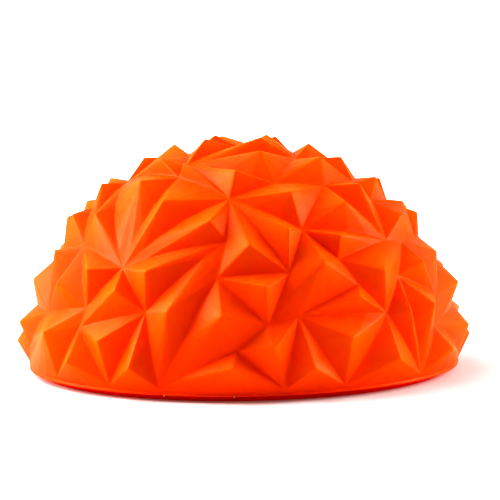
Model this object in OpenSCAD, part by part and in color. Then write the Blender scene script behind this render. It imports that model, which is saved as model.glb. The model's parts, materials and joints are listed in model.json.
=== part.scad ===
// Half ball for massage and balance work. Its soft, air-filled skin is covered with irregular
// low peaks. A flat base is welded on under the rim, and a push-in stopper closes the air valve.
// The frame: +Z is up, the ground is at z = 0, and the ball's axis is x = y = 0.
// Azimuths are in degrees from the front (-Y), positive towards +X. Elevations are in degrees
// above the plane of the rim, seen from the centre of the ball.

/* [Ball] */
// Diameter over the peaks
ball_d = 160; // [120:1:220]
// How far the peaks stand above the valleys between them
peak_h = 5; // [3:0.5:7]
// Thickness of the skin
skin_wall = 2.6; // [1.6:0.2:3.2]

/* [Rim] */
// How far the rim's edge lies inside the valleys
rim_inset = 0.5; // [0:0.1:1.5]
// Width of the flange under the rim, which the base is welded to
flange_w = 6.5; // [5:0.5:8]
// Thickness of that flange
flange_t = 1.8; // [1.2:0.1:2.4]

/* [Base] */
// How far the foot ring's edge lies inside the rim's edge
foot_inset = 3.5; // [2:0.5:4.5]
// Height of the foot ring, from the ground to the rim
foot_h = 2; // [1.5:0.1:3]
// Width of the foot ring's flat face, with its rounded corners
foot_w = 6; // [4:0.5:9]
// Height of the base panel above the ground
panel_rise = 1.5; // [1:0.1:1.8]
// Thickness of the base panel
panel_t = 2.2; // [1.6:0.2:3.2]
// Spacing of the grip rings under the base panel
grip_pitch = 11; // [7:0.5:16]
// Height of a grip ring
grip_h = 0.9; // [0.5:0.1:0.9]

/* [Valve] */
// Diameter of the stopper's stem
stem_d = 5; // [3.5:0.1:7]
// Length of the stopper's stem in the sleeve
stem_l = 9; // [7:0.5:14]
// Diameter of the stopper's head
head_d = 11; // [9:0.5:14]
// Thickness of the stopper's head
head_t = 1.2; // [0.8:0.1:1.4]
// Wall of the sleeve around the stem
sleeve_wall = 2; // [1.4:0.1:3]
// Width of the sleeve's flange on the panel
sleeve_flange_w = 3; // [2:0.5:3]

/* [Hidden] */
$fn = 96;

// Clearances: the stem in its sleeve, the sleeve in the panel, the panel inside the rim's flange,
// and the stopper's head in its pit
stem_gap = 0.05;
sleeve_gap = 0.05;
weld_gap = 0.5;
head_gap = 0.3;

// The ball's centre lies in the plane under its rim
peak_r = ball_d / 2;
valley_r = peak_r - peak_h;
centre_z = foot_h;
// Elevation of the lowest valleys, just above the rim
rim_el = 1.5;
// The longest stretch of a valley that is one straight line, in degrees
arc_step = 7;

// Rim and base
rim_r = valley_r - rim_inset;
flange_r = rim_r - flange_w;
foot_r = rim_r - foot_inset;
foot_in_r = foot_r - foot_w;
foot_round = 0.6;
foot_draft = 0.8;
panel_r = flange_r - weld_gap;
panel_top = panel_rise + panel_t;

// Valve: the head lies in a pit under the panel, clear of the ground
bore_r = stem_d / 2 + stem_gap;
sleeve_r = bore_r + sleeve_wall;
sleeve_flange_t = 1.5;
pit_r = head_d / 2 + head_gap;
pit_wall = 2;
pit_floor = panel_rise + head_t;
pit_top = pit_floor + pit_wall;
stem_tip = 2.4;
rib_count = 3;
rib_depth = 0.3;

// ---- The pattern of peaks ---------------------------------------------------------------------
// Hubs are the low points where valleys meet. They are listed for one half of the ball, and the
// other half is the same turned by half a turn. Hub numbers from FAR up are on that other half.
FAR = 100;
POLE = 8;
HUBS = [
  // along the rim, from left to right
  [-86, rim_el], [-55, rim_el], [-35, rim_el], [-21, rim_el],
  [10, rim_el], [25, rim_el], [50, rim_el], [84, rim_el],
  // the pole
  [0, 90],
  // 9 to 15: the left flank
  [-37, 31], [-26, 20], [-46, 20], [-47, 15], [-66, 17], [-81, 6], [-60, 36],
  // 16 to 22: around the top
  [-5, 53], [-88, 58], [-36, 62], [-66, 75], [-42, 68], [16, 59], [52, 72],
  // 23 to 27: the front
  [-5, 39], [-7, 29], [13, 30], [6, 17], [-2, 11],
  // 28 to 35: the upper right
  [20, 42], [42, 57], [69, 57], [52, 37], [64, 50], [61, 36], [75, 35], [29, 33],
  // 36 to 42: the right flank
  [40, 18], [49, 27], [14, 19], [33, 26], [66, 20], [59, 13], [85, 16],
  // 43 and 44: the right edge
  [104, 33], [90, 48]
];

// Each stone is the list of hubs around it, clockwise as seen from outside. Where its peak isn't
// over the middle of its corners, a second entry is how far it leans, as [azimuth, elevation].
STONES = [
  // the left flank
  [[9, 23, 10]],
  [[9, 16, 23], [2, -1]],
  [[9, 18, 16], [-4, -4]],
  [[9, 17, 18], [3, 0]],
  [[9, 15, 17], [-1, 3]],
  [[9, 11, 15]],
  [[11, 13, 15]],
  [[9, 10, 12, 11], [2, 1]],
  // along the rim
  [[0, 14, 13, 11, 12, 1], [6, 2]],
  [[1, 12, 2]],
  [[2, 12, 10]],
  [[2, 10, 3]],
  [[3, 27, 4], [0, 1]],
  [[4, 38, 5]],
  [[5, 36, 6], [0, -1]],
  [[6, 41, 7]],
  // the front
  [[3, 10, 23, 24], [-3, -3]],
  [[3, 24, 26, 27]],
  [[4, 27, 26, 38], [0, 1]],
  [[16, 25, 24, 23], [1, 0]],
  [[24, 25, 26], [1, 0]],
  [[16, 28, 25], [1, -1]],
  [[25, 28, 35, 39, 38, 26], [1, 1]],
  [[5, 38, 36]],
  [[36, 38, 39], [-2, 0]],
  // the right flank
  [[28, 29, 31]],
  [[29, 30, 32, 31]],
  [[28, 31, 35], [-1, 0]],
  [[31, 33, 37, 36, 39, 35], [-1, -1]],
  [[31, 32, 34, 33]],
  [[33, 40, 37]],
  [[6, 36, 37]],
  [[6, 37, 40, 41]],
  [[7, 41, 42]],
  [[33, 34, 43, 40]],
  [[40, 43, 42, 41]],
  // around the top
  [[16, 18, 20]],
  [[17, 19, 20, 18], [10, -3]],
  [[16, 20, 21]],
  [[20, 22, 21]],
  [[16, 21, 29, 28]],
  [[21, 22, 30, 29], [7, 2]],
  [[POLE, 20, 19], [0, 3]],
  [[POLE, 22, 20], [25, -2]],
  [[POLE, 119, 22], [0, 3]],
  // across to the other half
  [[32, 44, 34]],
  [[34, 44, 43]],
  [[30, 117, 44, 32]],
  [[22, 117, 30], [0, 2]],
  [[22, 119, 117], [-10, 2]],
  [[44, 117, 115], [-1, 2]],
  [[43, 44, 115], [-5, 4]],
  [[43, 115, 113], [-1, 2]],
  [[42, 43, 113]],
  [[42, 113, 114]],
  [[7, 42, 114, 100]]
];
RIM_CHAIN = concat([for (i = [0:7]) i], [for (i = [0:7]) i + FAR]);

function direction(az, el) = [cos(el) * sin(az), -cos(el) * cos(az), sin(el)];
function unit(v) = v / norm(v);
function azimuth(v) = atan2(v.x, -v.y);
function elevation(v) = asin(v.z / norm(v));
function hub(i) = i >= FAR ? direction(HUBS[i - FAR][0] + 180, HUBS[i - FAR][1])
                           : direction(HUBS[i][0], HUBS[i][1]);
function opposite(i) = i == POLE ? POLE : i >= FAR ? i - FAR : i + FAR;
function on_rim(i) = (i % FAR) < POLE;

// The straight steps of the valley from hub a to hub b, without b. Both stones beside a valley
// get the same points, because they are worked out from its lower number to its higher.
function between(a, b, share) =
  let (v = unit(hub(a) * (1 - share) + hub(b) * share))
  on_rim(a) && on_rim(b) ? direction(azimuth(v), rim_el) : v;
function steps(a, b) = ceil(acos(hub(a) * hub(b)) / arc_step);
function valley(a, b) =
  let (n = steps(min(a, b), max(a, b)))
  [for (i = [0:n - 1])
    i == 0 ? hub(a) : a < b ? between(a, b, i / n) : between(b, a, (n - i) / n)];
function outline(stone) = [
  for (i = [0:len(stone) - 1]) each valley(stone[i], stone[(i + 1) % len(stone)])
];

// A hub that lies part-way along a side isn't a corner
function bend(p, q, r) = acos(unit(p - q) * unit(r - q));
flat_bend = 152;
function corners(stone) =
  let (n = len(stone))
  [for (i = [0:n - 1])
    let (p = hub(stone[(i + n - 1) % n]), q = hub(stone[i]), r = hub(stone[(i + 1) % n]))
    if (bend(p, q, r) < flat_bend) q];
function average(c, i = 0) = i == len(c) ? [0, 0, 0] : c[i] / len(c) + average(c, i + 1);
function incentre(c) =
  let (a = norm(c[1] - c[2]), b = norm(c[0] - c[2]), d = norm(c[0] - c[1]))
  (a * c[0] + b * c[1] + d * c[2]) / (a + b + d);
function middle(c) = len(c) == 3 ? incentre(c) : average(c);
function peak(stone, shift) =
  let (v = middle(corners(stone)))
  direction(azimuth(v) + shift[0], elevation(v) + shift[1]);

// Both halves, each stone as [its hubs, the lean of its peak]
UPRIGHT = [0, 0];
function lean(stone) = len(stone) > 1 ? stone[1] : UPRIGHT;
ALL_STONES = [
  for (s = STONES) each [[s[0], lean(s)], [[for (i = s[0]) opposite(i)], lean(s)]]
];
RIM = [
  for (i = [0:len(RIM_CHAIN) - 1])
    each valley(RIM_CHAIN[i], RIM_CHAIN[(i + 1) % len(RIM_CHAIN)])
];

// ---- The skin ---------------------------------------------------------------------------------
function place(v, r) = [0, 0, centre_z] + r * v;
function around(v, r, z) = [r * v.x / norm([v.x, v.y]), r * v.y / norm([v.x, v.y]), z];

// The faces of one stone, from its outline to its peak
function stone_faces(s, r_low, r_high) =
  let (ring = outline(s[0]), n = len(ring), top = place(peak(s[0], s[1]), r_high))
  [for (i = [0:n - 1]) [top, place(ring[i], r_low), place(ring[(i + 1) % n], r_low)]];
function reversed(faces) = [for (f = faces) [f[0], f[2], f[1]]];

// The skin's section below the stones, from the outside round to the inside
function rim_loop(v) = [
  place(v, valley_r),
  around(v, rim_r, place(v, valley_r).z - rim_inset),
  around(v, rim_r, centre_z),
  around(v, flange_r, centre_z),
  around(v, flange_r, centre_z + flange_t),
  place(v, valley_r - skin_wall)
];
function rim_faces() = [
  for (i = [0:len(RIM) - 1])
    let (p = rim_loop(RIM[i]), q = rim_loop(RIM[(i + 1) % len(RIM)]))
    for (k = [0:len(p) - 2])
      each [[p[k], q[k + 1], p[k + 1]], [p[k], q[k], q[k + 1]]]
];

module faces_solid(faces) {
  polyhedron(
    points = [for (f = faces) each f],
    faces = [for (i = [0:len(faces) - 1]) [3 * i, 3 * i + 1, 3 * i + 2]],
    convexity = 6
  );
}

module dome_shell() {
  outside = [for (s = ALL_STONES) each stone_faces(s, valley_r, peak_r)];
  inside = [for (s = ALL_STONES) each stone_faces(s, valley_r - skin_wall, peak_r - skin_wall)];
  color("orangered")
    faces_solid(concat(outside, reversed(inside), rim_faces()));
}

// ---- The base ---------------------------------------------------------------------------------
// Half a round bead that hangs from the panel's underside
module grip_ring(r) {
  rotate_extrude()
    translate([r, panel_rise])
      intersection() {
        circle(r = grip_h);
        translate([-grip_h, -grip_h])
          square([2 * grip_h, grip_h + panel_t / 2]);
      }
}

module base_section() {
  polygon([
    [0, panel_rise], [foot_in_r - foot_draft, panel_rise],
    [foot_in_r, 0], [foot_r - foot_round, 0], [foot_r, foot_round], [foot_r, foot_h],
    [panel_r, foot_h], [panel_r, panel_top], [0, panel_top]
  ]);
}

module base_panel() {
  color("firebrick")
    difference() {
      union() {
        rotate_extrude()
          base_section();
        for (r = [pit_r + grip_pitch:grip_pitch:foot_in_r - foot_draft - 2 * grip_h])
          grip_ring(r);
        translate([0, 0, panel_rise])
          cylinder(r = pit_r + pit_wall, h = pit_top - panel_rise);
      }
      cylinder(r = pit_r, h = pit_floor);
      cylinder(r = sleeve_r + sleeve_gap, h = pit_top + pit_wall);
    }
}

// ---- The valve --------------------------------------------------------------------------------
module valve_sleeve() {
  color("darkred")
    difference() {
      union() {
        translate([0, 0, pit_floor])
          cylinder(r = sleeve_r, h = stem_l);
        translate([0, 0, pit_top])
          cylinder(r = sleeve_r + sleeve_flange_w, h = sleeve_flange_t);
      }
      cylinder(r = bore_r, h = pit_floor + 2 * stem_l);
    }
}

// The stem's sealing ribs are what is left between the grooves
module stem_grooves() {
  pitch = stem_l / (2 * rib_count + 1);
  for (i = [0:rib_count - 1])
    translate([0, 0, (2 * i + 1) * pitch])
      difference() {
        cylinder(d = 2 * stem_d, h = pitch);
        cylinder(r = stem_d / 2 - rib_depth, h = pitch);
      }
}

module valve_plug() {
  color("crimson")
    translate([0, 0, pit_floor])
      difference() {
        union() {
          translate([0, 0, -head_t])
            cylinder(d = head_d, h = head_t);
          cylinder(d = stem_d, h = stem_l);
          translate([0, 0, stem_l])
            cylinder(d1 = stem_d, d2 = stem_d / 2, h = stem_tip);
        }
        stem_grooves();
      }
}

dome_shell();
base_panel();
valve_sleeve();
valve_plug();
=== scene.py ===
"""Half ball for massage and balance work: its looks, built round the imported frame.

A soft, air-filled PVC skin of irregular low peaks, a welded base with a foot ring and grip
rings, and the valve's sleeve with its push-in stopper, on a plain white stage.
"""

import json
import math

import bmesh
import bpy
from bpy.props import FloatProperty, FloatVectorProperty, IntProperty, PointerProperty
from mathutils import Matrix, Vector
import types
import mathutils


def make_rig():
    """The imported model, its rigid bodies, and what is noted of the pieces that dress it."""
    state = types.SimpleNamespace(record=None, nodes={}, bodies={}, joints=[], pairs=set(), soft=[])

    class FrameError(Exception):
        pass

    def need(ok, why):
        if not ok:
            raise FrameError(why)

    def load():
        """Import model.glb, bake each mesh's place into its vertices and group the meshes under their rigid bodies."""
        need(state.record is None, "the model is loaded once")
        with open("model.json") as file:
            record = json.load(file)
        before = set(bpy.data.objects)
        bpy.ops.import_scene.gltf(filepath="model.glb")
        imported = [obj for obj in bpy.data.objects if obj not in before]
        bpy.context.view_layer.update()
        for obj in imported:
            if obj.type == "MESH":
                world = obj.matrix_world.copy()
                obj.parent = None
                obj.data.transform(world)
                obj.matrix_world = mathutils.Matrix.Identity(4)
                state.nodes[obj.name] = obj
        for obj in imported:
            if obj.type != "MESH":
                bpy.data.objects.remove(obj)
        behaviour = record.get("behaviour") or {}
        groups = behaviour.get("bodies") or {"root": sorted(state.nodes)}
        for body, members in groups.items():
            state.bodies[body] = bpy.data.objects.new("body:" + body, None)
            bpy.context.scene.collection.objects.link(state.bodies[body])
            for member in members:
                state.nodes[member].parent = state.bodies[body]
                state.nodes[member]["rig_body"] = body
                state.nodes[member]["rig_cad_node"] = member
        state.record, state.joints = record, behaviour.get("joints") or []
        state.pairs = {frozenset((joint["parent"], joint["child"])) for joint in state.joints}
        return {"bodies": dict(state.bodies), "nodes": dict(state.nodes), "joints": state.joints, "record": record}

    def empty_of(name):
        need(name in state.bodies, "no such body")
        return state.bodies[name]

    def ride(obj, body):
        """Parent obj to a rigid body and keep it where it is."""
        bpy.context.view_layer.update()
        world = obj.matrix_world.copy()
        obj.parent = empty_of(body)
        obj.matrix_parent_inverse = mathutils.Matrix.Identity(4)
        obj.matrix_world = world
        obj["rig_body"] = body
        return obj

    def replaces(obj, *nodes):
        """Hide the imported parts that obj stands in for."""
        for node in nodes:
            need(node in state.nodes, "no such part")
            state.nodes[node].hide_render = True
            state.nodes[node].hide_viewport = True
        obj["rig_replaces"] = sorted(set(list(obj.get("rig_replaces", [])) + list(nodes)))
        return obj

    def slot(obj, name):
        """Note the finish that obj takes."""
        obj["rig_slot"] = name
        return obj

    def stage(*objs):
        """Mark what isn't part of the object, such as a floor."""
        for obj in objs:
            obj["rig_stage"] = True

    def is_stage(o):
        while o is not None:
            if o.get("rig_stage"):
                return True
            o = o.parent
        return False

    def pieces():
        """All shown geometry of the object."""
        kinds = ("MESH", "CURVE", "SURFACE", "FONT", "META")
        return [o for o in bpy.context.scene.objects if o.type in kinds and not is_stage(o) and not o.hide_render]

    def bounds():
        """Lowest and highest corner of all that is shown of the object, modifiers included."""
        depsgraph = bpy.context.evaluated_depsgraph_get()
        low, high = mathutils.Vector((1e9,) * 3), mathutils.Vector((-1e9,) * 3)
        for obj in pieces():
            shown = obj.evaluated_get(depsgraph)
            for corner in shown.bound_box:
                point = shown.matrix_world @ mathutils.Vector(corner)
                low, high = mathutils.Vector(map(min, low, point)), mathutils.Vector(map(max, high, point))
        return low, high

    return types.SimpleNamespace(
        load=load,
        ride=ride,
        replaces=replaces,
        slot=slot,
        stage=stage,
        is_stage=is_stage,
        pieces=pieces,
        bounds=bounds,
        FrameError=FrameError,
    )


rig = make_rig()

bl_info = {
    "name": "Peaked half ball",
    "version": (1, 0, 0),
    "blender": (4, 5, 0),
    "location": "View3D > Sidebar > Half Ball",
    "description": "Builds a soft PVC half ball with a skin of peaks, its base and its air valve",
    "category": "Add Mesh",
}

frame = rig.load()
CAD_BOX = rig.bounds()
SIZE_FILE = "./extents.json"

MM = 0.001
# Points closer than this are one point
WELD = 0.0003 * MM
# The angle from one sample to the next that spreads them evenly over a disc
GOLDEN_ANGLE = math.pi * (3 - math.sqrt(5))
# A line that no corner of the skin lies on, so that a plane across it can be found at each point
SKEW_LINE = (0.31, 0.17, 0.93)
# Azimuth, in radians, of the plane that the round pieces' sections are cut on, clear of every corner
SECTION_TURN = 0.0137
# An outline that turns less than the first is straight, and one that turns more than the second has a
# corner to round
STRAIGHT, CORNER = math.radians(2), math.radians(25)
# Share of a corner's shorter side that its rounding may take, and share of that for its support points
ROUND_SHARE, SUPPORT_SHARE = 0.4, 0.25
# Points along a rounded corner
ROUND_POINTS = 5
# The neck under the skin's facets, as (how far out from the lip, how far below the facets)
NECK = ((0.3 * MM, 0.15 * MM), (0.1 * MM, 0.4 * MM), (0.0, 0.9 * MM))
# Radius of the lip's and the flange's edges, and the steps from one side of the parting bead to the other
LIP_CORNER = 0.3 * MM
BEAD_STEPS = 6


# ---- What the frame says ------------------------------------------------------------------------
def merged(node):
    """A bmesh copy of a CAD node, with its loose triangles joined."""
    shape = bmesh.new()
    shape.from_mesh(frame["nodes"][node].data)
    bmesh.ops.remove_doubles(shape, verts=shape.verts, dist=WELD)
    return shape


def off_axis(place):
    """How far a place lies from the ball's axis."""
    return math.hypot(place.x, place.y)


class SkinSizes:
    """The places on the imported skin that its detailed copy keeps."""

    def __init__(self):
        shape = merged("dome_shell")
        places = [v.co.copy() for v in shape.verts]
        shape.free()
        near = 0.1 * MM
        self.floor = min(p.z for p in places)
        centre = Vector((0, 0, self.floor))
        # A low point lies on the axis, outside and inside, and gives the depth of the valleys
        on_axis = [p.z - self.floor for p in places if off_axis(p) < near]
        self.valley_reach, self.inner_reach = max(on_axis), min(on_axis)
        self.peak_reach = max((p - centre).length for p in places)
        self.rim = min(p.z for p in places if abs((p - centre).length - self.valley_reach) < near)
        self.inner_rim = min(
            (p for p in places if abs((p - centre).length - self.inner_reach) < near),
            key=lambda p: p.z,
        )
        at_floor = [off_axis(p) for p in places if p.z < self.floor + near]
        self.lip_reach, self.flange_reach = max(at_floor), min(at_floor)
        above = [p for p in places if p.z > self.floor + near]
        self.flange_top = min(p.z for p in above if abs(off_axis(p) - self.flange_reach) < near)


SKIN = SkinSizes()


# ---- Sizes and colours that a user would change -------------------------------------------------
def length(name, description, default, largest):
    """A length of the piece, shown in the scene's unit."""
    return FloatProperty(
        name=name, description=description, default=default, min=0, max=largest,
        unit="LENGTH", subtype="DISTANCE", precision=5,
    )


def colour(name, description, default):
    """A linear colour."""
    return FloatVectorProperty(
        name=name, description=description, default=default, size=3, min=0, max=1,
        subtype="COLOR",
    )


def share(name, description, default):
    """A number from 0 to 1."""
    return FloatProperty(
        name=name, description=description, default=default, min=0, max=1, subtype="FACTOR",
    )


def power(name, description, default):
    """The strength of a light."""
    return FloatProperty(name=name, description=description, default=default, min=0, max=200)


class SkinSettings(bpy.types.PropertyGroup):
    """Sizes of the moulded skin."""

    softness: length("Edge softness", "Radius that ridges and valleys are rounded over", 0.5 * MM, 0.003)
    columns: IntProperty(
        name="Columns", description="Points across one facet", default=7, min=3, max=12)
    rows: IntProperty(
        name="Rows", description="Points from a peak to its valley", default=12, min=4, max=24)
    crowding: share("Crowding", "How strongly the points gather at a facet's edges", 0.88)
    samples: IntProperty(
        name="Samples", description="Places that each point is averaged over", default=24, min=6, max=64)
    bead: length("Bead", "How far the parting bead stands out from the lip", 0.3 * MM, 0.001)
    bead_height: length("Bead height", "Height of the parting bead", 0.8 * MM, 0.0015)
    nib: length("Nib", "Length of a nib of moulding flash on the lip", 0.9 * MM, 0.003)


class TurnedSettings(bpy.types.PropertyGroup):
    """Sizes of the round pieces."""

    base_round: length("Base edges", "Radius on the edges of the base", 0.4 * MM, 0.002)
    valve_round: length("Valve edges", "Radius on the edges of the sleeve and stopper", 0.2 * MM, 0.001)
    turns: IntProperty(
        name="Turns", description="Points around a round piece", default=192, min=24, max=360)


class FinishSettings(bpy.types.PropertyGroup):
    """Colours and surface of the soft PVC."""

    # Painted shade and light: the skin's colour runs from the darker valley tint in its valleys to the paler skin tint
    # at its peaks
    skin: colour("Skin", "Colour of the skin at its peaks", (0.99, 0.165, 0.0))
    valleys: colour("Valleys", "Colour of the skin in its valleys", (0.99, 0.11, 0.0))
    flash: colour("Flash", "Colour of the thin, pale nibs of flash", (0.95, 0.55, 0.42))
    # Painted shade: the base is the skin's PVC given a deeper red, the colour it shows in the shade under the lip
    base: colour("Base", "Colour of the base", (0.99, 0.03, 0.002))
    sleeve: colour("Sleeve", "Colour of the valve's sleeve", (0.72, 0.040, 0.002))
    stopper: colour("Stopper", "Colour of the stopper", (0.88, 0.050, 0.0))
    roughness: share("Roughness", "Satin of the moulded surface", 0.42)
    grain: length("Grain", "Depth of the mould's fine grain", 0.012 * MM, 0.0002)
    grain_size: length("Grain size", "Distance from grain to grain", 0.35 * MM, 0.003)


class StageSettings(bpy.types.PropertyGroup):
    """Camera and light."""

    aim: length("Aim", "Height that the camera looks at", 35 * MM, 0.2)
    distance: length("Distance", "Distance from the camera to the aim", 650 * MM, 3.0)
    elevation: FloatProperty(
        name="Elevation", description="Height of the camera above the horizon",
        default=math.radians(5.755), min=0, max=math.pi / 2, unit="ROTATION", subtype="ANGLE")
    roll: FloatProperty(
        name="Roll", description="Turn of the camera about its own line of sight",
        default=math.radians(-0.843), min=-0.5, max=0.5, unit="ROTATION", subtype="ANGLE")
    lens: FloatProperty(
        name="Lens", description="Focal length in millimetres on a 36 mm sensor",
        default=133.85, min=20, max=400)
    key: power("Left", "Power of the soft box at the left, in watts", 8.0)
    side: power("Right", "Power of the soft box at the right, in watts", 7.2)
    top: power("Top", "Power of the soft box overhead, in watts", 7.5)
    front_fill: power("Front fill", "Strength of the room's light from the front", 0.06)
    back_fill: power("Back fill", "Strength of the room's light from behind", 0.6)
    black: share("Black", "Light that is still developed as black", 0.012)


# ---- Materials ----------------------------------------------------------------------------------
class Shader:
    """A material's node tree, built call by call."""

    def __init__(self, name):
        self.material = bpy.data.materials.new(name)
        self.material.use_nodes = True
        self.nodes = self.material.node_tree.nodes
        self.links = self.material.node_tree.links
        self.surface = self.nodes["Principled BSDF"]
        self.where = self.nodes.new("ShaderNodeTexCoord").outputs["Object"]

    def add(self, kind, inputs, **settings):
        """A node with its settings, and its inputs set or linked."""
        node = self.nodes.new(kind)
        for name, value in settings.items():
            setattr(node, name, value)
        for key, value in inputs.items():
            if isinstance(value, bpy.types.NodeSocket):
                self.links.new(value, node.inputs[key])
            else:
                node.inputs[key].default_value = value
        return node

    def noise(self, spacing, detail=2.0, roughness=0.5):
        """Soft random values from 0 to 1 that change over about the given distance."""
        inputs = {"Vector": self.where, "Scale": 1 / spacing, "Detail": detail, "Roughness": roughness}
        return self.add("ShaderNodeTexNoise", inputs).outputs["Fac"]

    def ramp(self, value, low, high, at_low, at_high):
        """A value that goes evenly from at_low to at_high while another goes from low to high."""
        inputs = {"Value": value, "From Min": low, "From Max": high, "To Min": at_low, "To Max": at_high}
        return self.add("ShaderNodeMapRange", inputs).outputs["Result"]

    def mix(self, factor, first, second):
        """Between two colours, by a share from 0 to 1."""
        node = self.add("ShaderNodeMix", {}, data_type="RGBA")
        for socket, value in zip((node.inputs[0], node.inputs[6], node.inputs[7]), (factor, first, second)):
            if isinstance(value, bpy.types.NodeSocket):
                self.links.new(value, socket)
            else:
                socket.default_value = value
        return node.outputs[2]

    def bump(self, height, depth, below=None):
        """The surface's normal with a relief of the given depth, on top of another relief."""
        inputs = {"Height": height, "Distance": depth, "Strength": 1.0}
        if below is not None:
            inputs["Normal"] = below
        return self.add("ShaderNodeBump", inputs).outputs["Normal"]

    def set(self, **values):
        """Sets or links the surface's own sockets, named with underscores for spaces."""
        for name, value in values.items():
            socket = self.surface.inputs[name.replace("_", " ")]
            if isinstance(value, bpy.types.NodeSocket):
                self.links.new(value, socket)
            else:
                socket.default_value = value


def relief(s, valley_shade_tint, high_tint):
    """The skin's colour with painted shade and light: deeper towards the valleys and paler towards the peaks, by the
    distance from the ball's centre.
    """
    centre = Vector((0, 0, SKIN.floor))
    from_centre = s.add("ShaderNodeVectorMath", {0: s.where, 1: centre}, operation="SUBTRACT")
    reach = s.add("ShaderNodeVectorMath", {0: from_centre.outputs[0]}, operation="LENGTH")
    height = s.ramp(reach.outputs["Value"], SKIN.valley_reach, SKIN.peak_reach, 0, 1)
    return s.mix(height, (*valley_shade_tint, 1), (*high_tint, 1))


def soft_pvc(name, tint, dullness=1.0, valley_shade_tint=None):
    """Satin soft PVC with a fine mould grain, faint clouding and small changes of gloss."""
    finish = bpy.context.scene.half_ball_finish
    s = Shader(name)
    clouds = s.noise(spacing=34 * MM, detail=3.0)
    flow = s.noise(spacing=7 * MM)
    patches = s.noise(spacing=12 * MM, detail=4.0, roughness=0.6)
    grain = s.noise(spacing=finish.grain_size, roughness=0.6)
    pebble = s.noise(spacing=2.4 * MM)
    # With a valley tint, the skin's colour carries painted shade in its valleys and painted light towards its peaks
    tone = relief(s, valley_shade_tint, tint) if valley_shade_tint else Vector(tint)
    shade = s.ramp(clouds, 0.35, 0.65, 0.95, 1.03)
    shade = s.add("ShaderNodeMath", {0: shade, 1: s.ramp(flow, 0.55, 0.75, 1, 1.04)}, operation="MULTIPLY")
    tone = s.add("ShaderNodeVectorMath", {0: tone, "Scale": shade.outputs[0]}, operation="SCALE").outputs[0]
    satin = finish.roughness * dullness
    surface_normal = s.bump(grain, finish.grain, s.bump(pebble, 2 * finish.grain))
    s.set(
        Base_Color=tone, Normal=surface_normal,
        Roughness=s.ramp(patches, 0.3, 0.7, satin - 0.05, satin + 0.06),
        IOR=1.5, Specular_IOR_Level=0.12, Subsurface_Weight=0.4, Subsurface_Scale=2.0 * MM,
        Subsurface_Radius=(1.0, 0.08, 0.02),
    )
    return s.material


def stage_white(reach):
    """Softly lit white paper that clears away into the white of the room towards its edge."""
    s = Shader("stage_white")
    away = s.add("ShaderNodeVectorMath", {0: s.where}, operation="LENGTH").outputs["Value"]
    fibres = s.noise(spacing=1.5 * MM, detail=3.0)
    s.set(
        Base_Color=s.mix(s.ramp(fibres, 0.3, 0.7, 0, 1), (0.76, 0.76, 0.76, 1), (0.8, 0.8, 0.8, 1)),
        Roughness=0.9, Specular_IOR_Level=0.1, Emission_Color=(1, 1, 1, 1), Emission_Strength=0.07,
        Alpha=s.ramp(away, reach / 2, reach, 1, 0),
    )
    return s.material


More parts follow.
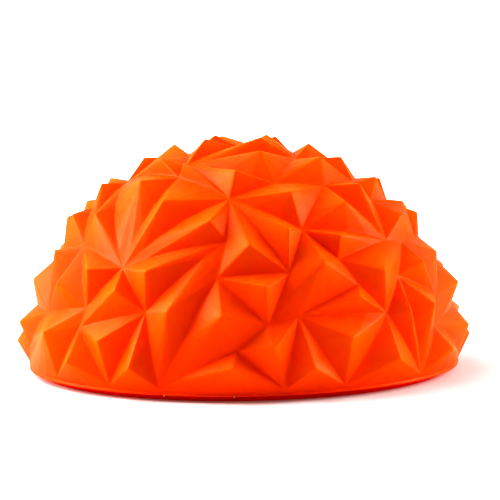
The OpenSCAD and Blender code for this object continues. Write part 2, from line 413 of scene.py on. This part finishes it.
# ---- Geometry Nodes -----------------------------------------------------------------------------
class Tree:
    """A Geometry Nodes tree, built call by call, with named inputs for its sizes."""

    def __init__(self, name, sizes):
        self.tree = bpy.data.node_groups.new(name, "GeometryNodeTree")
        face = self.tree.interface
        face.new_socket("Geometry", in_out="INPUT", socket_type="NodeSocketGeometry")
        face.new_socket("Geometry", in_out="OUTPUT", socket_type="NodeSocketGeometry")
        for label, kind in sizes.items():
            face.new_socket(label, in_out="INPUT", socket_type="NodeSocket" + kind)
        self.sizes = self.tree.nodes.new("NodeGroupInput").outputs

    def plug(self, socket, value):
        """Links a socket, or sets it."""
        if isinstance(value, bpy.types.NodeSocket):
            self.tree.links.new(value, socket)
        else:
            socket.default_value = value

    def add(self, kind, inputs=None, **settings):
        """A node with its settings made first, because they decide which inputs it has."""
        node = self.tree.nodes.new(kind)
        for name, value in settings.items():
            setattr(node, name, value)
        for key, value in (inputs or {}).items():
            self.plug(node.inputs[key], value)
        return node

    def get(self, kind, inputs=None, **settings):
        """A node's first output."""
        return self.add(kind, inputs, **settings).outputs[0]

    def sum(self, operation, *values):
        """Arithmetic on numbers."""
        node = self.add("ShaderNodeMath", operation=operation)
        for socket, value in zip(node.inputs, values):
            self.plug(socket, value)
        return node.outputs[0]

    def vector(self, operation, *values):
        """Arithmetic on places and directions."""
        node = self.add("ShaderNodeVectorMath", operation=operation)
        for socket, value in zip(node.inputs, values):
            self.plug(socket, value)
        return node.outputs["Value" if operation in ("LENGTH", "DISTANCE", "DOT_PRODUCT") else "Vector"]

    def scaled(self, vector, by):
        return self.get("ShaderNodeVectorMath", {"Vector": vector, "Scale": by}, operation="SCALE")

    def above(self, value, limit):
        """Whether a number is greater than a limit."""
        return self.get("FunctionNodeCompare", {"A": value, "B": limit}, data_type="FLOAT",
                        operation="GREATER_THAN")

    def choose(self, test, when_false, when_true, kind="VECTOR"):
        """One of two values, by a test."""
        inputs = {"Switch": test, "False": when_false, "True": when_true}
        return self.get("GeometryNodeSwitch", inputs, input_type=kind)

    def blend(self, factor, first, second):
        """Between two places, by a share from 0 to 1."""
        return self.vector("ADD", first, self.scaled(self.vector("SUBTRACT", second, first), factor))

    def keep(self, geometry, domain, kind, values):
        """Keeps fields as they are here, so that they can be read further down the tree."""
        node = self.add("GeometryNodeCaptureAttribute", {"Geometry": geometry}, domain=domain)
        for label in values:
            node.capture_items.new(kind, label)
        for label, value in values.items():
            self.plug(node.inputs[label], value)
        return node.outputs["Geometry"], [node.outputs[label] for label in values]

    def repeat(self, times, geometry):
        """The two ends of a repeat zone: the geometry inside, the step's number and the far end."""
        start, end = self.add("GeometryNodeRepeatInput"), self.add("GeometryNodeRepeatOutput")
        start.pair_with_output(end)
        self.plug(start.inputs["Iterations"], times)
        self.plug(start.inputs["Geometry"], geometry)
        return start.outputs["Geometry"], start.outputs["Iteration"], end

    def weld(self, geometry):
        """Joins the points that lie in one place."""
        return self.get("GeometryNodeMergeByDistance", {"Geometry": geometry, "Distance": WELD})

    def join(self, *parts):
        """Several parts as one geometry."""
        node = self.add("GeometryNodeJoinGeometry")
        for part in parts:
            self.tree.links.new(part, node.inputs[0])
        return node.outputs[0]

    def finish(self, geometry, material):
        """Ends the tree: instances made real, smooth shading and the material."""
        geometry = self.get("GeometryNodeRealizeInstances", {"Geometry": geometry})
        geometry = self.get("GeometryNodeSetShadeSmooth", {"Geometry": geometry})
        geometry = self.get("GeometryNodeSetMaterial", {"Geometry": geometry, "Material": material})
        self.plug(self.add("NodeGroupOutput").inputs[0], geometry)
        return self.tree


def shape_with(tree, mesh, values):
    """The plain mesh that a tree makes of a mesh, with the tree's inputs set by identifier."""
    worker = bpy.data.objects.new("worker", mesh)
    bpy.context.scene.collection.objects.link(worker)
    modifier = worker.modifiers.new("Shape", "NODES")
    modifier.node_group = tree
    for item in tree.interface.items_tree:
        if item.in_out == "INPUT" and item.name in values:
            modifier[item.identifier] = values[item.name]
    graph = bpy.context.evaluated_depsgraph_get()
    made = bpy.data.meshes.new_from_object(worker.evaluated_get(graph), depsgraph=graph)
    bpy.data.objects.remove(worker)
    return made


# ---- The skin -----------------------------------------------------------------------------------
def facet_corners(t, place, centre):
    """A facet's three corners, its farthest from the centre first, in their own order."""
    corners = []
    for k in range(3):
        corner = t.get("GeometryNodeCornersOfFace", {"Sort Index": k})
        vertex = t.get("GeometryNodeVertexOfCorner", {"Corner Index": corner})
        corners.append(t.get("GeometryNodeFieldAtIndex", {"Value": place, "Index": vertex},
                             domain="POINT", data_type="FLOAT_VECTOR"))
    reach = [t.vector("DISTANCE", c, centre) for c in corners]
    second = t.above(reach[1], t.sum("MAXIMUM", reach[0], reach[2]))
    third = t.above(reach[2], t.sum("MAXIMUM", reach[0], reach[1]))

    def turned(k):
        a, b, c = (corners[(k + i) % 3] for i in range(3))
        return t.choose(third, t.choose(second, a, b), c)

    return [turned(k) for k in range(3)]


def facet_patch(t, rows):
    """A flat patch with its points gathered at its edges, and its two shares across and down."""
    inputs = {"Size X": 1.0, "Size Y": 1.0, "Vertices X": t.sizes["Columns"], "Vertices Y": rows}
    grid = t.get("GeometryNodeMeshGrid", inputs)
    spot = t.add("ShaderNodeSeparateXYZ", {"Vector": t.get("GeometryNodeInputPosition")})

    def gathered(value):
        value = t.sum("ADD", value, 0.5)
        wave = t.sum("SINE", t.sum("MULTIPLY", value, math.tau))
        pull = t.sum("DIVIDE", t.sizes["Crowding"], math.tau)
        return t.sum("SUBTRACT", value, t.sum("MULTIPLY", wave, pull))

    shares = {"across": gathered(spot.outputs["X"]), "down": gathered(spot.outputs["Y"])}
    return t.keep(grid, "POINT", "FLOAT", shares)


def lay_patches(t, facets, corners, rows):
    """Lays a patch on every facet, from its peak down to its valley, and welds them together."""
    facets, (peak, left, right) = t.keep(
        facets, "FACE", "VECTOR", dict(zip(("peak", "left", "right"), corners)))
    patch, (across, down) = facet_patch(t, rows)
    points = t.get("GeometryNodeMeshToPoints", {"Mesh": facets}, mode="FACES")
    laid = t.get("GeometryNodeInstanceOnPoints", {"Points": points, "Instance": patch})
    laid = t.get("GeometryNodeRealizeInstances", {"Geometry": laid})
    spot = t.blend(down, peak, t.blend(across, right, left))
    return t.weld(t.get("GeometryNodeSetPosition", {"Geometry": laid, "Position": spot}))


def soften_edges(t, geometry, facets, centre):
    """Rounds ridges and valleys: each point goes to the mean reach of the facets around it."""
    out = t.vector("SUBTRACT", t.get("GeometryNodeInputPosition"), centre)
    reach, way = t.vector("LENGTH", out), t.vector("NORMALIZE", out)
    side = t.vector("NORMALIZE", t.vector("CROSS_PRODUCT", way, SKEW_LINE))
    other = t.vector("CROSS_PRODUCT", way, side)
    total = t.get("GeometryNodeInputNamedAttribute", {"Name": "reach_sum"}, data_type="FLOAT")

    inside, step, end = t.repeat(t.sizes["Samples"], geometry)
    spread = t.sum("SQRT", t.sum("DIVIDE", t.sum("ADD", step, 0.5), t.sizes["Samples"]))
    spread = t.sum("DIVIDE", t.sum("MULTIPLY", spread, t.sizes["Edge Softness"]), reach)
    angle = t.sum("MULTIPLY", step, GOLDEN_ANGLE)
    aside = t.vector(
        "ADD",
        t.scaled(side, t.sum("MULTIPLY", spread, t.sum("COSINE", angle))),
        t.scaled(other, t.sum("MULTIPLY", spread, t.sum("SINE", angle))),
    )
    ray = t.add("GeometryNodeRaycast", {
        "Target Geometry": facets, "Source Position": centre, "Ray Direction": t.vector("ADD", way, aside),
        "Ray Length": t.sum("MULTIPLY", reach, 2.0),
    })
    found = t.choose(ray.outputs["Is Hit"], reach, ray.outputs["Hit Distance"], "FLOAT")
    inside = t.get("GeometryNodeStoreNamedAttribute", {
        "Geometry": inside, "Name": "reach_sum", "Value": t.sum("ADD", total, found),
    }, data_type="FLOAT", domain="POINT")
    t.plug(end.inputs["Geometry"], inside)

    # The ring that the lip hangs from stays where it is
    height = t.add("ShaderNodeSeparateXYZ", {"Vector": t.get("GeometryNodeInputPosition")}).outputs["Z"]
    clear = t.get("ShaderNodeMapRange", {
        "Value": height, "From Min": t.sizes["Rim Height"],
        "From Max": t.sum("ADD", t.sizes["Rim Height"], t.sizes["Edge Softness"]),
    })
    mean = t.sum("DIVIDE", total, t.sizes["Samples"])
    change = t.sum("MULTIPLY", t.sum("SUBTRACT", mean, reach), clear)
    spot = t.vector("ADD", centre, t.scaled(way, t.sum("ADD", reach, change)))
    softened = t.get("GeometryNodeSetPosition", {"Geometry": end.outputs["Geometry"], "Position": spot})
    return t.get("GeometryNodeRemoveAttribute", {"Geometry": softened, "Name": "reach_sum"})


def open_edge(t):
    """Whether an edge has a face on one side only."""
    neighbours = t.get("GeometryNodeInputMeshEdgeNeighbors")
    return t.get("FunctionNodeCompare", {"A": neighbours, "B": 1}, data_type="INT", operation="EQUAL")


def move_to_ring(t, geometry, chosen, section, index):
    """Moves the chosen points out or in to the ring that one point of the lip's section makes."""
    place = t.get("GeometryNodeInputPosition")
    at = t.get("GeometryNodeSampleIndex", {"Geometry": section, "Value": place, "Index": index},
               data_type="FLOAT_VECTOR", domain="POINT")
    at = t.add("ShaderNodeSeparateXYZ", {"Vector": at})
    flat = t.vector("MULTIPLY", place, (1.0, 1.0, 0.0))
    spot = t.scaled(t.vector("NORMALIZE", flat), at.outputs["X"])
    spot = t.vector("ADD", spot, t.get("ShaderNodeCombineXYZ", {"Z": at.outputs["Z"]}))
    return t.get("GeometryNodeSetPosition", {"Geometry": geometry, "Selection": chosen, "Position": spot})


def hang_lip(t, geometry, section, count):
    """Runs the open rim round the lip's section, one point of the section at a time."""
    inside, step, end = t.repeat(count, geometry)
    run = t.add("GeometryNodeExtrudeMesh", {"Mesh": inside, "Selection": open_edge(t), "Offset Scale": 0.0},
                mode="EDGES")
    t.plug(end.inputs["Geometry"], move_to_ring(t, run.outputs["Mesh"], run.outputs["Top"], section, step))
    return end.outputs["Geometry"]


def skin_tree():
    """Facet patches outside and inside, rounded outside, and joined round the lip's section."""
    t = Tree("Peaked skin", {
        "Centre Height": "Float", "Rim Height": "Float", "Edge Softness": "Float", "Crowding": "Float",
        "Columns": "Int", "Rows": "Int", "Samples": "Int", "Lip Section": "Object", "Finish": "Material",
    })
    place = t.get("GeometryNodeInputPosition")
    centre = t.get("ShaderNodeCombineXYZ", {"Z": t.sizes["Centre Height"]})
    corners = facet_corners(t, place, centre)
    top = t.add("ShaderNodeSeparateXYZ", {"Vector": corners[0]}).outputs["Z"]
    peaked = t.above(top, t.sum("ADD", t.sizes["Rim Height"], WELD))
    facets = t.get("GeometryNodeSeparateGeometry", {"Geometry": t.sizes["Geometry"], "Selection": peaked},
                   domain="FACE")
    outwards = t.vector("DOT_PRODUCT", t.get("GeometryNodeInputNormal"), t.vector("SUBTRACT", place, centre))
    sides = t.add("GeometryNodeSeparateGeometry",
                  {"Geometry": facets, "Selection": t.above(outwards, 0.0)}, domain="FACE")
    outer_facets, inner_facets = sides.outputs["Selection"], sides.outputs["Inverted"]
    section = t.add("GeometryNodeObjectInfo", {"Object": t.sizes["Lip Section"]}).outputs["Geometry"]
    count = t.get("GeometryNodeAttributeDomainSize", {"Geometry": section}, component="MESH")
    outer = lay_patches(t, outer_facets, corners, t.sizes["Rows"])
    outer = hang_lip(t, soften_edges(t, outer, outer_facets, centre), section, count)
    inner = lay_patches(t, inner_facets, corners, 2)
    inner = move_to_ring(t, inner, open_edge(t), section, t.sum("SUBTRACT", count, 1))
    return t.finish(t.weld(t.join(outer, inner)), t.sizes["Finish"])


def arc(centre, radius, start, stop, steps):
    """Points along an arc, as (distance from the axis, height), with its angles in degrees."""
    angles = (math.radians(start + (stop - start) * i / steps) for i in range(steps + 1))
    return [(centre[0] + radius * math.cos(a), centre[1] + radius * math.sin(a)) for a in angles]


def lip_section():
    """The skin's section under its facets: the lip, its parting bead, the flange and the inner rim."""
    sizes = bpy.context.scene.half_ball_skin
    lip, floor = SKIN.lip_reach, SKIN.floor
    half_bead = sizes.bead_height / 2
    flange = SKIN.flange_reach + LIP_CORNER
    bead_gap, edge_support, rim_support = 0.1 * MM, 1.5 * MM, 1 * MM
    points = [(lip + out, SKIN.rim - below) for out, below in NECK]
    points.append((lip, floor + sizes.bead_height + bead_gap))
    for i in range(1, BEAD_STEPS):
        turn = math.pi * i / BEAD_STEPS
        points.append((lip + sizes.bead * math.sin(turn), floor + half_bead * (1 + math.cos(turn))))
    points += arc((lip - LIP_CORNER, floor + LIP_CORNER), LIP_CORNER, -30, -90, 3)
    points += [(lip - edge_support, floor), (flange, floor)]
    points += arc((flange, floor + LIP_CORNER), LIP_CORNER, 270, 180, 3)[1:]
    points += arc((flange, SKIN.flange_top - LIP_CORNER), LIP_CORNER, 180, 90, 3)
    points.append((off_axis(SKIN.inner_rim) - rim_support, SKIN.flange_top))
    points.append((off_axis(SKIN.inner_rim), SKIN.inner_rim.z))
    mesh = bpy.data.meshes.new("lip_section")
    mesh.from_pydata([(x, 0, z) for x, z in points], [], [])
    return bpy.data.objects.new("lip_section", mesh)


# ---- Round pieces -------------------------------------------------------------------------------
def cut(shape, normal, **sides):
    """Cuts a shape on a plane through the axis, and clears the sides that are named."""
    everything = shape.verts[:] + shape.edges[:] + shape.faces[:]
    bmesh.ops.bisect_plane(shape, geom=everything, plane_co=(0, 0, 0), plane_no=normal, **sides)


def section_of(node):
    """The outline of a turned CAD node on one side of its axis, as (distance from axis, height)."""
    shape = merged(node)
    across = Vector((math.cos(SECTION_TURN), math.sin(SECTION_TURN), 0))
    cut(shape, across, clear_inner=True)
    cut(shape, Vector((-across.y, across.x, 0)), clear_inner=True, clear_outer=True)
    bmesh.ops.remove_doubles(shape, verts=shape.verts, dist=WELD)
    ends = [v for v in shape.verts if len(v.link_edges) == 1]
    start = here = (ends or list(shape.verts))[0]
    came, chain = None, []
    while here is not None:
        chain.append((max(0.0, here.co.dot(across)), here.co.z))
        came = next((e for e in here.link_edges if e is not came), None)
        here = came.other_vert(here) if came else None
        if here is start:
            break
    closed = not ends
    shape.free()
    return without_straights(chain, closed), closed


def turn_at(before, here, after):
    """The angle that an outline turns through at a point."""
    a = math.atan2(here[1] - before[1], here[0] - before[0])
    b = math.atan2(after[1] - here[1], after[0] - here[0])
    return abs((b - a + math.pi) % math.tau - math.pi)


def without_straights(points, closed):
    """Drops the points that lie on a straight stretch."""
    count = len(points)
    return [
        points[i] for i in range(count)
        if (not closed and i in (0, count - 1))
        or turn_at(points[i - 1], points[i], points[(i + 1) % count]) > STRAIGHT
    ]


def rounded(points, closed, radius):
    """Rounds an outline's corners, with a support point on each side, and leaves its curves alone."""
    made = []
    count = len(points)
    for i, here in enumerate(points):
        before, after = Vector(points[i - 1]), Vector(points[(i + 1) % count])
        corner = Vector(here)
        at_end = not closed and i in (0, count - 1)
        if at_end or turn_at(before, corner, after) < CORNER:
            made.append(tuple(corner))
            continue
        room = ROUND_SHARE * min((before - corner).length, (after - corner).length)
        back = min(radius, room)
        first, last = (corner + (p - corner).normalized() * back for p in (before, after))
        support = SUPPORT_SHARE * back
        made.append(tuple(first + (before - corner).normalized() * support))
        for k in range(ROUND_POINTS):
            s = k / (ROUND_POINTS - 1)
            made.append(tuple((1 - s) ** 2 * first + 2 * s * (1 - s) * corner + s ** 2 * last))
        made.append(tuple(last + (after - corner).normalized() * support))
    return made


def turned_mesh(name, outline, closed, turns):
    """The closed solid that an outline makes when it is turned about the axis."""
    shape = bmesh.new()
    rings = [
        [shape.verts.new((r * math.cos(math.tau * k / turns), r * math.sin(math.tau * k / turns), z))
         for k in range(turns)]
        for r, z in outline
    ]
    pairs = list(zip(rings, rings[1:] + (rings[:1] if closed else [])))
    for low, high in pairs:
        for k in range(turns):
            shape.faces.new((low[k], low[(k + 1) % turns], high[(k + 1) % turns], high[k]))
    bmesh.ops.remove_doubles(shape, verts=shape.verts, dist=WELD)
    return as_mesh(shape, name)


def as_mesh(shape, name):
    """A plain mesh of a bmesh, smooth, with its faces pointing outwards."""
    bmesh.ops.recalc_face_normals(shape, faces=shape.faces)
    mesh = bpy.data.meshes.new(name)
    for face in shape.faces:
        face.smooth = True
    shape.to_mesh(mesh)
    shape.free()
    return mesh


def put(name, mesh, node, body, slot, material):
    """Adds a finished piece: it rides on a body, and it stands for a CAD node if one is named."""
    piece = bpy.data.objects.new(name, mesh)
    bpy.context.scene.collection.objects.link(piece)
    mesh.materials.clear()
    mesh.materials.append(material)
    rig.ride(piece, body)
    if node:
        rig.replaces(piece, node)
    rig.slot(piece, slot)


# ---- Moulding flash -----------------------------------------------------------------------------
# Azimuths of the nibs on the lip, in degrees from the front, positive towards +X
NIB_AZIMUTHS = (-19.7, -2.5)
# How far the nibs point down from level, in degrees
NIB_DROOP = 35
# Height of a nib's root above the lip's lower edge
NIB_HEIGHT = 0.2 * MM
# A nib's radius at its root and at its tip, and how far its middle stands out, as shares of its length
NIB_ROOT, NIB_TIP, NIB_OUT = 0.35, 0.15, 1 / 3


def flash_nibs(sizes):
    """Short tapered nibs that the trimming left on the lip's lower edge, as one mesh."""
    shape = bmesh.new()
    for azimuth in NIB_AZIMUTHS:
        turn, droop = math.radians(azimuth), math.radians(NIB_DROOP)
        out = Vector((math.sin(turn), -math.cos(turn), 0))
        way = out * math.cos(droop) - Vector((0, 0, math.sin(droop)))
        root = out * SKIN.lip_reach + Vector((0, 0, SKIN.floor + NIB_HEIGHT))
        place = root + way * sizes.nib * NIB_OUT
        stand = way.to_track_quat("Z", "Y").to_matrix().to_4x4()
        bmesh.ops.create_cone(
            shape, cap_ends=True, segments=10, depth=sizes.nib, radius1=NIB_ROOT * sizes.nib,
            radius2=NIB_TIP * sizes.nib, matrix=Matrix.Translation(place) @ stand,
        )
    return as_mesh(shape, "flash_nibs")


# ---- The stage ----------------------------------------------------------------------------------
# From the middle of the floor to the middle of its side
FLOOR_REACH = 600 * MM
# The square soft boxes: name, place and width in metres, and the setting that holds the power
SOFT_BOXES = (
    ("left_softbox", (-0.95, 0.12, 0.5), 0.6, "key"),
    ("right_softbox", (0.95, 0.08, 0.4), 0.6, "side"),
    ("top_softbox", (-0.6, 0.1, 0.9), 0.9, "top"),
)
LIGHT_AIM = Vector((0, 0, 40 * MM))
# How bright the room's white looks to the camera
ROOM_WHITE = 1.2
# The camera's sensor in millimetres, and its shift as shares of the frame
SENSOR = 36
SHIFT = (0.0144, 0.0352)


def make_floor():
    """A white floor that fades out all round."""
    corners = [(x * FLOOR_REACH, y * FLOOR_REACH, 0) for x, y in ((-1, -1), (1, -1), (1, 1), (-1, 1))]
    mesh = bpy.data.meshes.new("floor")
    mesh.from_pydata(corners, [], [(0, 1, 2, 3)])
    mesh.materials.append(stage_white(FLOOR_REACH))
    floor = bpy.data.objects.new("floor", mesh)
    bpy.context.scene.collection.objects.link(floor)
    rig.stage(floor)


def make_lights(sizes):
    """Soft boxes at the left, at the right and overhead."""
    for name, place, width, setting in SOFT_BOXES:
        light = bpy.data.lights.new(name, "AREA")
        light.size = width
        light.energy = getattr(sizes, setting)
        lamp = bpy.data.objects.new(name, light)
        lamp.location = place
        lamp.rotation_euler = (LIGHT_AIM - lamp.location).to_track_quat("-Z", "Y").to_euler()
        bpy.context.scene.collection.objects.link(lamp)


def make_world(sizes):
    """The white room's own light: strongest behind the ball, and even and white to look at."""
    world = bpy.data.worlds.new("white_room")
    world.use_nodes = True
    tree = world.node_tree
    surface = tree.nodes["Background"]
    surface.inputs["Color"].default_value = (1, 1, 1, 1)
    way = tree.nodes.new("ShaderNodeSeparateXYZ")
    tree.links.new(tree.nodes.new("ShaderNodeTexCoord").outputs["Generated"], way.inputs[0])
    depth = tree.nodes.new("ShaderNodeMapRange")
    depth.inputs["From Min"].default_value = -1
    depth.inputs["To Min"].default_value = sizes.front_fill
    depth.inputs["To Max"].default_value = sizes.back_fill
    tree.links.new(way.outputs["Y"], depth.inputs["Value"])
    seen = tree.nodes.new("ShaderNodeMix")
    tree.links.new(tree.nodes.new("ShaderNodeLightPath").outputs["Is Camera Ray"], seen.inputs["Factor"])
    tree.links.new(depth.outputs["Result"], seen.inputs["A"])
    seen.inputs["B"].default_value = ROOM_WHITE
    tree.links.new(seen.outputs["Result"], surface.inputs["Strength"])
    bpy.context.scene.world = world


def make_camera(sizes):
    """A camera in front of the ball and a little above it."""
    lens = bpy.data.cameras.new("camera")
    lens.sensor_width = SENSOR
    lens.lens = sizes.lens
    lens.shift_x, lens.shift_y = SHIFT
    camera = bpy.data.objects.new("camera", lens)
    back = Vector((0, -math.cos(sizes.elevation), math.sin(sizes.elevation)))
    aim = Vector((0, 0, sizes.aim))
    turn = (-back).to_track_quat("-Z", "Y").to_matrix().to_4x4() @ Matrix.Rotation(sizes.roll, 4, "Z")
    camera.matrix_world = Matrix.Translation(aim + back * sizes.distance) @ turn
    bpy.context.scene.collection.objects.link(camera)
    bpy.context.scene.camera = camera


# ---- Operators ----------------------------------------------------------------------------------
class HALFBALL_OT_skin(bpy.types.Operator):
    """Makes the moulded skin of peaks, with its lip and flange"""

    bl_idname = "half_ball.skin"
    bl_label = "Skin of Peaks"

    def execute(self, context):
        sizes = context.scene.half_ball_skin
        coarse = merged("dome_shell")
        mesh = bpy.data.meshes.new("coarse_skin")
        coarse.to_mesh(mesh)
        coarse.free()
        section = lip_section()
        finish = context.scene.half_ball_finish
        # The valley tint paints shade into the skin's valleys
        material = soft_pvc("skin_pvc", finish.skin, valley_shade_tint=finish.valleys)
        made = shape_with(skin_tree(), mesh, {
            "Centre Height": SKIN.floor, "Rim Height": SKIN.rim, "Edge Softness": sizes.softness,
            "Crowding": sizes.crowding, "Columns": sizes.columns, "Rows": sizes.rows,
            "Samples": sizes.samples, "Lip Section": section, "Finish": material,
        })
        bpy.data.objects.remove(section)
        shape = bmesh.new()
        shape.from_mesh(made)
        bmesh.ops.remove_doubles(shape, verts=shape.verts, dist=WELD)
        if any(not e.is_manifold for e in shape.edges):
            raise RuntimeError("the skin isn't closed: " + str(sum(not e.is_manifold for e in shape.edges)))
        put("peaked_skin", as_mesh(shape, "peaked_skin"), "dome_shell", "ball", "skin", material)
        return {"FINISHED"}


def make_turned(name, node, body, slot, material, radius):
    """A round piece from its CAD node's own section, with softened edges."""
    outline, closed = section_of(node)
    turns = bpy.context.scene.half_ball_turned.turns
    mesh = turned_mesh(name, rounded(outline, closed, radius), closed, turns)
    put(name, mesh, node, body, slot, material)


class HALFBALL_OT_flash(bpy.types.Operator):
    """Adds the nibs of moulding flash on the lip"""

    bl_idname = "half_ball.flash"
    bl_label = "Moulding Flash"

    def execute(self, context):
        mesh = flash_nibs(context.scene.half_ball_skin)
        material = soft_pvc("flash_pvc", context.scene.half_ball_finish.flash, dullness=1.2)
        put("flash_nibs", mesh, None, "ball", "skin", material)
        return {"FINISHED"}


class HALFBALL_OT_base(bpy.types.Operator):
    """Makes the base with its foot ring, grip rings and the valve's pit"""

    bl_idname = "half_ball.base"
    bl_label = "Base"

    def execute(self, context):
        # The base's deeper red is painted shade
        material = soft_pvc("base_pvc", context.scene.half_ball_finish.base, dullness=1.1)
        radius = context.scene.half_ball_turned.base_round
        make_turned("welded_base", "base_panel", "ball", "base", material, radius)
        return {"FINISHED"}


class HALFBALL_OT_valve(bpy.types.Operator):
    """Makes the valve: the sleeve in the base and the stopper that slides out of it"""

    bl_idname = "half_ball.valve"
    bl_label = "Valve"

    def execute(self, context):
        finish = context.scene.half_ball_finish
        radius = context.scene.half_ball_turned.valve_round
        sleeve_pvc = soft_pvc("sleeve_pvc", finish.sleeve)
        stopper_pvc = soft_pvc("stopper_pvc", finish.stopper, dullness=0.9)
        make_turned("air_sleeve", "valve_sleeve", "ball", "sleeve", sleeve_pvc, radius)
        make_turned("air_stopper", "valve_plug", "stopper", "plug", stopper_pvc, radius)
        return {"FINISHED"}


class HALFBALL_OT_stage(bpy.types.Operator):
    """Sets up the white floor, the soft light and the camera"""

    bl_idname = "half_ball.stage"
    bl_label = "Stage"

    def execute(self, context):
        sizes = context.scene.half_ball_stage
        make_floor()
        make_lights(sizes)
        make_world(sizes)
        make_camera(sizes)
        develop = context.scene.view_settings
        develop.view_transform = "Standard"
        develop.look = "Very High Contrast"
        develop.use_curve_mapping = True
        develop.curve_mapping.black_level = (sizes.black,) * 3
        return {"FINISHED"}


class HALFBALL_PT_panel(bpy.types.Panel):
    """The half ball's pieces and their sizes"""

    bl_idname = "HALFBALL_PT_panel"
    bl_label = "Half Ball"
    bl_space_type = "VIEW_3D"
    bl_region_type = "UI"
    bl_category = "Half Ball"

    def draw(self, context):
        for operator, settings in STEPS:
            box = self.layout.box()
            box.operator(operator.bl_idname)
            group = getattr(context.scene, settings) if settings else None
            for name in group.bl_rna.properties.keys() if group else ():
                if name not in ("rna_type", "name"):
                    box.prop(group, name)


SETTINGS = {
    "half_ball_skin": SkinSettings,
    "half_ball_turned": TurnedSettings,
    "half_ball_finish": FinishSettings,
    "half_ball_stage": StageSettings,
}
# The operators in the order that they run, each with the settings that the panel shows below it
STEPS = (
    (HALFBALL_OT_flash, None),
    (HALFBALL_OT_skin, "half_ball_skin"),
    (HALFBALL_OT_base, "half_ball_turned"),
    (HALFBALL_OT_valve, "half_ball_finish"),
    (HALFBALL_OT_stage, "half_ball_stage"),
)
CLASSES = (*SETTINGS.values(), *(operator for operator, _ in STEPS), HALFBALL_PT_panel)


def register():
    for c in CLASSES:
        bpy.utils.register_class(c)
    for name, group in SETTINGS.items():
        setattr(bpy.types.Scene, name, PointerProperty(type=group))


def unregister():
    for name in SETTINGS:
        delattr(bpy.types.Scene, name)
    for c in reversed(CLASSES):
        bpy.utils.unregister_class(c)


def main():
    """Registers the add-on, makes each piece and writes the two boxes to compare."""
    register()
    for operator, _ in STEPS:
        family, name = operator.bl_idname.split(".")
        getattr(getattr(bpy.ops, family), name)()
    boxes = {"cad": CAD_BOX, "visual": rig.bounds()}
    with open(SIZE_FILE, "w") as file:
        json.dump({name: [list(corner) for corner in box] for name, box in boxes.items()}, file)


if __name__ == "__main__":
    main()
